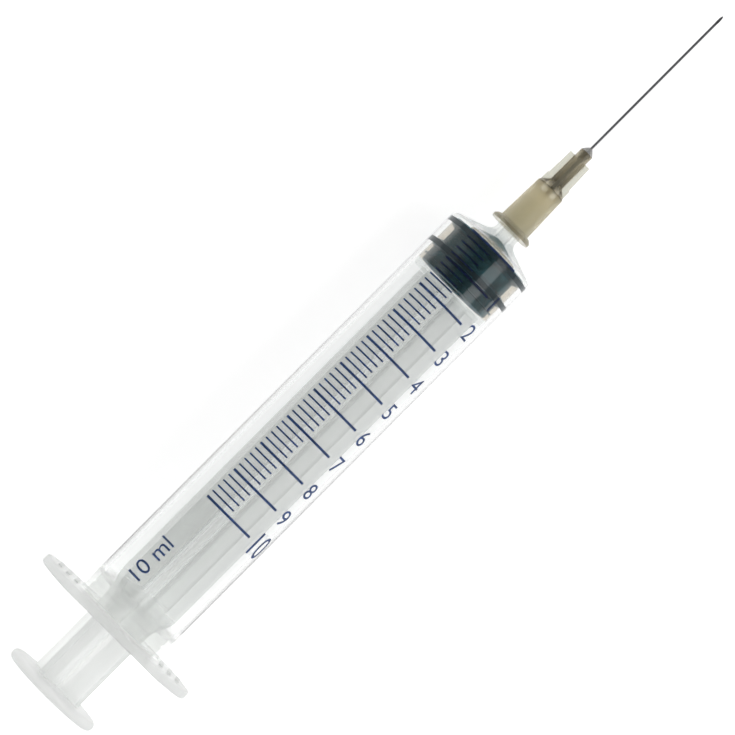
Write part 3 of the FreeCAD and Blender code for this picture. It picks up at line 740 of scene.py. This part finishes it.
class SYRINGE_OT_barrel(bpy.types.Operator):
    """Make the clear barrel with its finger flange, grip ridges, shoulder and nozzle"""
    bl_idname = "syringe.barrel"
    bl_label = "Barrel"

    def execute(self, context):
        sizes = context.scene.syringe_barrel
        places = barrel_places(context)
        bore, outer = places["bore"], places["outer"]
        plastic = clear_plastic(context.scene.syringe_finishes, sizes, outer)
        thick = sizes.flange_thick
        half = sizes.flange_width / 2
        bead = sizes.bead_back + sizes.bead_wide / 2
        bm = bmesh.new()
        shell = turned(bm, [
            (0, bore + sizes.mouth_flare),
            (0, outer + sizes.ridge_gap),
            (0, half, sizes.flange_edge),
            (thick, half, sizes.flange_edge),
            (thick, outer + sizes.ridge_gap),
            (thick, outer, sizes.flange_edge),
            (sizes.body_length, outer, sizes.edge),
            (places["root_x"], places["root"], sizes.shoulder_root),
            (places["tip_x"], places["tip"], sizes.flange_edge / 2),
            (places["tip_x"], sizes.nozzle_bore / 2),
            (places["channel_x"], sizes.nozzle_bore / 2),
            (places["chamber_x"], bore),
            (sizes.bead_back + sizes.bead_wide, bore),
            (bead, bore - sizes.bead_high, sizes.bead_high / 2),
            (sizes.bead_back, bore),
            (sizes.mouth_deep, bore),
        ], closed=True)
        flattened(shell, outer + sizes.ridge_gap + NEAR, half, sizes.flange_flats / 2, sizes.flange_corner)
        for side in (1, -1):
            for number in range(sizes.ridge_count):
                middle = outer + sizes.ridge_gap + sizes.ridge_wide / 2 + number * sizes.ridge_pitch
                bar(bm, (thick, side * middle, 0), (sizes.ridge_high * 2, sizes.ridge_wide, sizes.ridge_long),
                    sizes.ridge_high * 0.8)
        placed(as_object(bm, "barrel_moulding", plastic), "barrel_body", "clear_polypropylene", "barrel")
        return {"FINISHED"}


def band(bm, x, wide, radius, thick, start, end):
    """A strip of ink round the barrel between two angles, measured from the top towards -Y."""
    strip = [bm.verts.new((x + side * wide / 2, 0, radius + level * thick))
             for side, level in ((-1, 0), (1, 0), (1, 1), (-1, 1))]
    face = bm.faces.new(strip)
    rolled(bm, strip, start)
    steps = max(2, round((end - start) / BAND_STEP))
    spun(bm, [face], end - start, steps, False)


def wrapped_text(bm, words, high, narrow, thick, slices, to_place):
    """Add words as thin solid letters: drawn flat, sliced, then bent by to_place(right, up, out).

    The letters are first drawn one unit thick, and then brought to their height and thickness.
    """
    curve = bpy.data.curves.new("words", "FONT")
    curve.body = words
    curve.resolution_u = LETTER_STEPS
    curve.extrude = 0.5
    text = bpy.data.objects.new("words", curve)
    flat = bpy.data.meshes.new_from_object(text)
    letters = bmesh.new()
    letters.from_mesh(flat)
    bmesh.ops.remove_doubles(letters, verts=letters.verts, dist=LETTER_NEAR)
    low = [min(vertex.co[axis] for vertex in letters.verts) for axis in range(3)]
    top = max(vertex.co.y for vertex in letters.verts)
    size = high / (top - low[1])
    bmesh.ops.translate(letters, verts=letters.verts, vec=[-value for value in low])
    bmesh.ops.scale(letters, verts=letters.verts, vec=(size * narrow, size, thick))
    wide = max(vertex.co.x for vertex in letters.verts)
    for number in range(1, slices):
        sliced(letters, (wide * number / slices, 0, 0), NEAR / 4)
    for vertex in letters.verts:
        vertex.co = to_place(*vertex.co)
    bent = bpy.data.meshes.new("words")
    letters.to_mesh(bent)
    letters.free()
    bm.from_mesh(bent)
    bpy.data.meshes.remove(bent)
    bpy.data.meshes.remove(flat)
    bpy.data.objects.remove(text)
    bpy.data.curves.remove(curve)


class SYRINGE_OT_scale(bpy.types.Operator):
    """Print the scale: small and long marks, their numbers and a plain volume label"""
    bl_idname = "syringe.scale"
    bl_label = "Printed scale"

    def execute(self, context):
        sizes = context.scene.syringe_scale
        bore = context.scene.syringe_barrel.bore
        outer = barrel_places(context)["outer"]
        ink = printed_ink(context.scene.syringe_finishes)
        zero = SPANS["scale_marks"][1] - sizes.mark_wide / 2
        spacing = MILLILITRE / (math.pi / 4 * bore ** 2)
        # The ink starts just off the wall, so that the two share no face.
        foot = outer + sizes.ink / 10
        thick = sizes.ink * 0.9

        ticks = bmesh.new()
        marks = bmesh.new()
        for number in range(sizes.capacity * sizes.divisions + 1):
            x = zero - number * spacing / sizes.divisions
            if number % sizes.divisions:
                band(ticks, x, sizes.tick_wide, foot, thick, sizes.start, sizes.tick_end)
            else:
                band(marks, x, sizes.mark_wide, foot, thick, sizes.start, sizes.mark_end)
        placed(as_object(ticks, "small_marks", ink), "barrel_body", "navy_ink", "scale_marks")
        placed(as_object(marks, "long_marks", ink), "barrel_body", "navy_ink", "scale_marks")

        numbers = bmesh.new()
        for number in range(1, sizes.capacity + 1):
            last = number == sizes.capacity
            high = sizes.last_high if last else sizes.digit_high
            narrow = sizes.last_narrow if last else 1
            middle = zero - number * spacing

            def round_the_side(right, up, out):
                turn = sizes.digit_start + right / outer
                distance = foot + out
                return (middle - high / 2 + up, -distance * math.sin(turn), distance * math.cos(turn))

            wrapped_text(numbers, str(number), high, narrow, thick, NUMBER_SLICES, round_the_side)

        def beside_the_top(right, up, out):
            turn = -(sizes.label_side + up) / outer
            distance = foot + out
            return (sizes.label_start + right, -distance * math.sin(turn), distance * math.cos(turn))

        label = bmesh.new()
        wrapped_text(label, f"{sizes.capacity} ml", sizes.label_high, 1, thick, 1, beside_the_top)
        placed(as_object(numbers, "scale_numbers", ink), "barrel_body", "navy_ink")
        placed(as_object(label, "volume_label", ink), "barrel_body", "navy_ink")
        return {"FINISHED"}


class SYRINGE_OT_stopper(bpy.types.Operator):
    """Make the rubber stopper with its rings, lip, front cone and socket, and its film of silicone"""
    bl_idname = "syringe.stopper"
    bl_label = "Stopper"

    def execute(self, context):
        sizes = context.scene.syringe_stopper
        rod = context.scene.syringe_plunger
        bore = barrel_places(context)["bore"]
        slope = context.scene.syringe_barrel.shoulder_slope
        rear = SPANS["stopper"][0]
        front = rear + sizes.seal_length
        ring = bore + sizes.press
        body = bore - sizes.body_clear
        waist = bore - sizes.waist_clear
        lip = rear + sizes.lip_back
        second = rear + sizes.ring_back
        nose_x = front + (ring - sizes.nose / 2) / math.tan(slope)
        button_x = rear - rod.play + rod.neck_length
        button_end = button_x + rod.button_length + rod.play
        button = rod.button / 2 + rod.play
        soft = sizes.edge
        bm = bmesh.new()
        turned(bm, [
            (nose_x, 0),
            (nose_x, sizes.nose / 2, soft * 2),
            (front, ring, soft * 2),
            (front - sizes.front_ring, ring, soft),
            (front - sizes.front_ring - sizes.ring_slope, waist, soft),
            (second + sizes.ring_wide + sizes.ring_slope, waist, soft),
            (second + sizes.ring_wide, ring, soft),
            (second, ring, soft),
            (second - sizes.ring_slope / 2, body, soft / 2),
            (lip + sizes.lip_wide, body),
            (lip + sizes.lip_wide, bore - sizes.lip_clear, sizes.lip_wide / 3),
            (lip, bore - sizes.lip_clear, sizes.lip_wide / 3),
            (lip, body),
            (rear, body, soft * 2),
            (rear, rod.neck / 2 + rod.play),
            (button_x - rod.play, rod.neck / 2 + rod.play),
            (button_x - rod.play, button),
            (button_end - rod.button_edge, button),
            (button_end, button - rod.button_edge),
            (button_end, 0),
        ])
        finishes = context.scene.syringe_finishes
        placed(as_object(bm, "rubber_stopper", rubber(finishes, bore, sizes.press)),
               "stopper_body", "dark_rubber", "stopper")

        bm = bmesh.new()
        turned(bm, [
            (rear, bore - sizes.film * 1.5),
            (rear, bore - sizes.film / 2),
            (front, bore - sizes.film / 2),
            (front, bore - sizes.film * 1.5),
        ], closed=True)
        # The record has no slot for silicone; the film rides on the stopper's body with the rubber that it
        # coats.
        placed(as_object(bm, "silicone_film", silicone(finishes)), "stopper_body", "dark_rubber")
        return {"FINISHED"}


class SYRINGE_OT_plunger(bpy.types.Operator):
    """Make the plunger rod: crossed ribs with a step, thumb plate, head disc, neck and button"""
    bl_idname = "syringe.plunger"
    bl_label = "Plunger rod"

    def execute(self, context):
        sizes = context.scene.syringe_plunger
        barrel = context.scene.syringe_barrel
        rear, _, thumb = SPANS["plunger_rod"]
        thumb_front = rear + sizes.thumb_thick
        head_front = SPANS["stopper"][0] - sizes.play
        head_rear = head_front - sizes.head_thick
        button_x = head_front + sizes.neck_length
        full = barrel.bore / 2 - barrel.bead_high - sizes.rib_clear
        small = sizes.rib_rear / 2

        def rib_reach(x):
            """The ribs' height above the axis: smaller outside the barrel, with a soft step."""
            way = (x - sizes.step_start) / (sizes.step_end - sizes.step_start)
            way = min(max(way, 0), 1)
            return small + (full - small) * way * way * (3 - 2 * way)

        bm = bmesh.new()
        start = thumb_front - sizes.thumb_thick / 2
        end = head_rear + sizes.head_thick / 2
        core = Matrix.Translation(((start + end) / 2, 0, 0)) @ Matrix.Diagonal(
            (end - start, sizes.rib_thick, sizes.rib_thick, 1))
        bmesh.ops.create_cube(bm, size=1, matrix=core)
        for number in range(RIB_CUTS + 1):
            x = sizes.step_start + (sizes.step_end - sizes.step_start) * number / RIB_CUTS
            sliced(bm, (x, 0, 0), NEAR)
        # Each rib grows out of one side of the core, up to its height at each place.
        for direction in (Vector((0, 1, 0)), Vector((0, -1, 0)), Vector((0, 0, 1)), Vector((0, 0, -1))):
            bm.normal_update()
            side = [face for face in bm.faces if face.normal.dot(direction) > FACING
                    and math.hypot(*face.calc_center_median().yz) < sizes.rib_thick]
            raised = bmesh.ops.extrude_face_region(bm, geom=side)
            bmesh.ops.delete(bm, geom=side, context="FACES")
            for vertex in raised["geom"]:
                if isinstance(vertex, bmesh.types.BMVert):
                    lift = rib_reach(vertex.co.x) - vertex.co.dot(direction)
                    vertex.co += direction * lift
        bm.normal_update()
        # The roots are the inner corners between the ribs, the tips their long outer edges.
        roots = [edge for edge in bm.edges if abs(abs(edge.verts[0].co.y) - sizes.rib_thick / 2) < NEAR
                 and abs(abs(edge.verts[0].co.z) - sizes.rib_thick / 2) < NEAR
                 and abs(edge.verts[0].co.y - edge.verts[1].co.y) < NEAR
                 and abs(edge.verts[0].co.z - edge.verts[1].co.z) < NEAR]
        tips = [edge for edge in bm.edges
                if min(math.hypot(vertex.co.y, vertex.co.z) for vertex in edge.verts) > small * WITHIN
                and abs(edge.verts[0].co.x - edge.verts[1].co.x) > NEAR]
        rounded(bm, roots, sizes.rib_root)
        rounded(bm, [edge for edge in tips if edge.is_valid], sizes.rib_edge)
        turned(bm, [
            (rear + sizes.thumb_dish, 0),
            (rear + sizes.thumb_dish, thumb - sizes.thumb_edge * 2, sizes.thumb_edge),
            (rear, thumb - sizes.thumb_edge * 1.2, sizes.thumb_edge / 8),
            (rear, thumb, sizes.thumb_edge),
            (thumb_front, thumb, sizes.thumb_edge),
            (thumb_front, 0),
        ])
        turned(bm, [
            (head_rear, 0),
            (head_rear, barrel.bore / 2 - sizes.head_clear, sizes.rib_edge),
            (head_front, barrel.bore / 2 - sizes.head_clear, sizes.rib_edge),
            (head_front, sizes.neck / 2, sizes.rib_edge),
            (button_x, sizes.neck / 2),
            (button_x, sizes.button / 2, sizes.rib_edge),
            (button_x + sizes.button_length - sizes.button_edge, sizes.button / 2),
            (button_x + sizes.button_length, sizes.button / 2 - sizes.button_edge),
            (button_x + sizes.button_length, 0),
        ])
        rolled(bm, bm.verts, sizes.turn)
        placed(as_object(bm, "plunger_moulding", milky_plastic(context.scene.syringe_finishes, sizes)),
               "rod_body", "natural_polypropylene", "plunger_rod")
        return {"FINISHED"}


class SYRINGE_OT_needle(bpy.types.Operator):
    """Make the needle's hub with lugs and fins, its adhesive and the steel tube"""
    bl_idname = "syringe.needle"
    bl_label = "Hub and needle"

    def execute(self, context):
        sizes = context.scene.syringe_needle
        barrel = context.scene.syringe_barrel
        finishes = context.scene.syringe_finishes
        rear, nose, lug = SPANS["needle_hub"]
        tube_start, tip, tube = SPANS["needle_tube"]
        glue_end = SPANS["hub_adhesive"][1]
        mouth = barrel.nozzle_tip / 2 + barrel.taper / 2 * sizes.depth + sizes.clear
        floor_x = rear + sizes.cavity
        floor = mouth - barrel.taper / 2 * sizes.cavity
        body_x = rear + sizes.body_length
        core = sizes.well / 2 + sizes.well_wall
        lug_x = rear + sizes.lug_thick
        rear_radius = mouth + sizes.rear_wall
        front_radius = floor + sizes.front_wall
        lug_foot = rear_radius + (front_radius - rear_radius) * sizes.lug_thick / sizes.body_length

        bm = bmesh.new()
        shell = turned(bm, [
            (rear, mouth),
            (rear, rear_radius),
            (rear, lug),
            (lug_x - sizes.lug_flare, lug),
            (lug_x, lug - sizes.lug_flare),
            (lug_x, lug_foot),
            (body_x, front_radius, sizes.well_wall / 2),
            (body_x + sizes.shoulder, core, sizes.well_wall / 2),
            (nose, core),
            (nose, sizes.well / 2),
            (nose - sizes.well_deep, tube),
            (floor_x, tube),
            (floor_x, floor),
        ], closed=True)
        flattened(shell, rear_radius + NEAR, lug, rear_radius, 0)
        # The fins' foot is hidden in the core.
        fin_foot = core * WITHIN
        fin = [
            (body_x - sizes.shoulder, core),
            (body_x - sizes.shoulder / 2, sizes.fin_first / 2),
            (body_x + sizes.fin_step, sizes.fin_first / 2),
            (body_x + sizes.fin_step, sizes.fin_main / 2),
            (body_x + sizes.fin_length, sizes.fin_end / 2),
            (body_x + sizes.fin_length, fin_foot),
            (body_x - sizes.shoulder, fin_foot),
        ]
        for quarter in range(4):
            outline = [bm.verts.new((x, -sizes.fin_thick / 2, height)) for x, height in fin]
            plate = bm.faces.new(outline)
            raised = bmesh.ops.extrude_face_region(bm, geom=[plate])
            corners = [item for item in raised["geom"] if isinstance(item, bmesh.types.BMVert)]
            bmesh.ops.translate(bm, verts=corners, vec=(0, sizes.fin_thick, 0))
            rolled(bm, outline + corners, quarter * TURN / 4)
            faced_outward(bm, outline + corners)
        placed(as_object(bm, "hub_moulding", hub_plastic(finishes, sizes, front_radius)),
               "needle_body", "brown_hub_plastic", "needle_hub")

        # Halfway up, the adhesive is a little wider than a straight cone.
        waist = core * 0.6 + sizes.glue_top / 2 * 0.4
        bm = bmesh.new()
        turned(bm, [
            (nose - sizes.well_deep, tube),
            (nose, sizes.well / 2),
            (nose, core),
            ((nose + glue_end) / 2, waist, sizes.glue_top),
            (glue_end, sizes.glue_top / 2, sizes.glue_top / 10),
            (glue_end, tube),
        ], FINE_STEPS, closed=True)
        placed(as_object(bm, "adhesive_cone", adhesive(finishes)),
               "needle_body", "clear_adhesive", "hub_adhesive")

        bm = bmesh.new()
        turned(bm, [
            (tube_start, sizes.tube_bore / 2),
            (tube_start, tube),
            (tip, tube),
            (tip, sizes.tube_bore / 2),
        ], FINE_STEPS, closed=True)
        # The point is ground off at a slant, and the cut wall is closed again.
        ground = (math.sin(sizes.bevel), 0, math.cos(sizes.bevel))
        sliced(bm, (tip, 0, -tube), NEAR / 10, ground, cut_away=True)
        rim = [edge for edge in bm.edges if edge.is_boundary]
        bmesh.ops.bridge_loops(bm, edges=rim)
        bmesh.ops.recalc_face_normals(bm, faces=bm.faces)
        placed(as_object(bm, "steel_tube", steel(finishes)), "needle_body", "needle_steel", "needle_tube")
        return {"FINISHED"}


class SYRINGE_OT_stage(bpy.types.Operator):
    """Set the pale floor, the soft light and the camera straight above"""
    bl_idname = "syringe.stage"
    bl_label = "Floor, light and camera"

    def execute(self, context):
        scene = context.scene
        stage = scene.syringe_stage
        bm = bmesh.new()
        bmesh.ops.create_circle(bm, cap_ends=True, radius=FLOOR_REACH, segments=FLOOR_STEPS)
        floor = in_scene("floor", as_mesh(bm, "floor", floor_paint(stage)))
        floor.location.z = -FLOOR_DROP

        world = bpy.data.worlds.new("soft_light")
        world.use_nodes = True
        scene.world = world
        tree = world.node_tree
        tree.nodes.clear()
        kinds = ("TexCoord", "SeparateXYZ", "MapRange", "Background", "OutputWorld")
        place, split, level, sky, output = [tree.nodes.new("ShaderNode" + kind) for kind in kinds]
        level.interpolation_type = "SMOOTHSTEP"
        limits = {"From Min": stage.dusk_low, "From Max": stage.dusk_high,
                  "To Min": stage.sky_side, "To Max": stage.sky_top}
        for name, value in limits.items():
            level.inputs[name].default_value = value
        tree.links.new(place.outputs["Generated"], split.inputs[0])
        tree.links.new(split.outputs["Z"], level.inputs["Value"])
        tree.links.new(level.outputs[0], sky.inputs["Strength"])
        tree.links.new(sky.outputs[0], output.inputs["Surface"])

        middle = LAID @ Vector((stage.view_along, stage.view_across, 0))
        light = bpy.data.lights.new("soft_lamp", "AREA")
        light.shape = "RECTANGLE"
        light.size = stage.lamp_long
        light.size_y = stage.lamp_wide
        light.energy = stage.lamp_power
        lamp = in_scene("soft_lamp", light)
        lamp.location = middle + Vector((0, -stage.lamp_aside, stage.lamp_high))
        lamp.rotation_euler = (middle - lamp.location).to_track_quat("-Z", "Y").to_euler()

        data = bpy.data.cameras.new("camera")
        data.angle = 2 * math.atan(stage.view_wide / 2 / stage.camera_high)
        data.clip_start = CAMERA_NEAR
        camera = in_scene("camera", data)
        camera.location = middle + Vector((0, 0, stage.camera_high))
        camera.rotation_euler = (0, 0, -stage.camera_turn)
        scene.camera = camera
        scene.view_settings.view_transform = "Standard"
        return {"FINISHED"}


class SYRINGE_PT_pieces(bpy.types.Panel):
    """The syringe's pieces, in the sidebar"""
    bl_idname = "SYRINGE_PT_pieces"
    bl_label = "Syringe"
    bl_space_type = "VIEW_3D"
    bl_region_type = "UI"
    bl_category = "Syringe"

    def draw(self, context):
        for operator in OPERATORS:
            self.layout.operator(operator.bl_idname)
        for name in GROUPS:
            box = self.layout.box()
            group = getattr(context.scene, name)
            for key in group.__annotations__:
                box.prop(group, key)


GROUPS = {
    "syringe_barrel": BarrelSizes,
    "syringe_scale": ScaleSizes,
    "syringe_plunger": PlungerSizes,
    "syringe_stopper": StopperSizes,
    "syringe_needle": NeedleSizes,
    "syringe_finishes": Finishes,
    "syringe_stage": StageSettings,
}
OPERATORS = (
    SYRINGE_OT_barrel,
    SYRINGE_OT_scale,
    SYRINGE_OT_stopper,
    SYRINGE_OT_plunger,
    SYRINGE_OT_needle,
    SYRINGE_OT_stage,
)


def register():
    for kind in (*GROUPS.values(), *OPERATORS, SYRINGE_PT_pieces):
        bpy.utils.register_class(kind)
    for name, kind in GROUPS.items():
        setattr(bpy.types.Scene, name, PointerProperty(type=kind))


def unregister():
    for name in GROUPS:
        delattr(bpy.types.Scene, name)
    for kind in reversed((*GROUPS.values(), *OPERATORS, SYRINGE_PT_pieces)):
        bpy.utils.unregister_class(kind)


def main():
    register()
    bpy.ops.syringe.barrel()
    bpy.ops.syringe.scale()
    bpy.ops.syringe.stopper()
    bpy.ops.syringe.plunger()
    bpy.ops.syringe.needle()
    bpy.ops.syringe.stage()


if __name__ == "__main__":
    main()
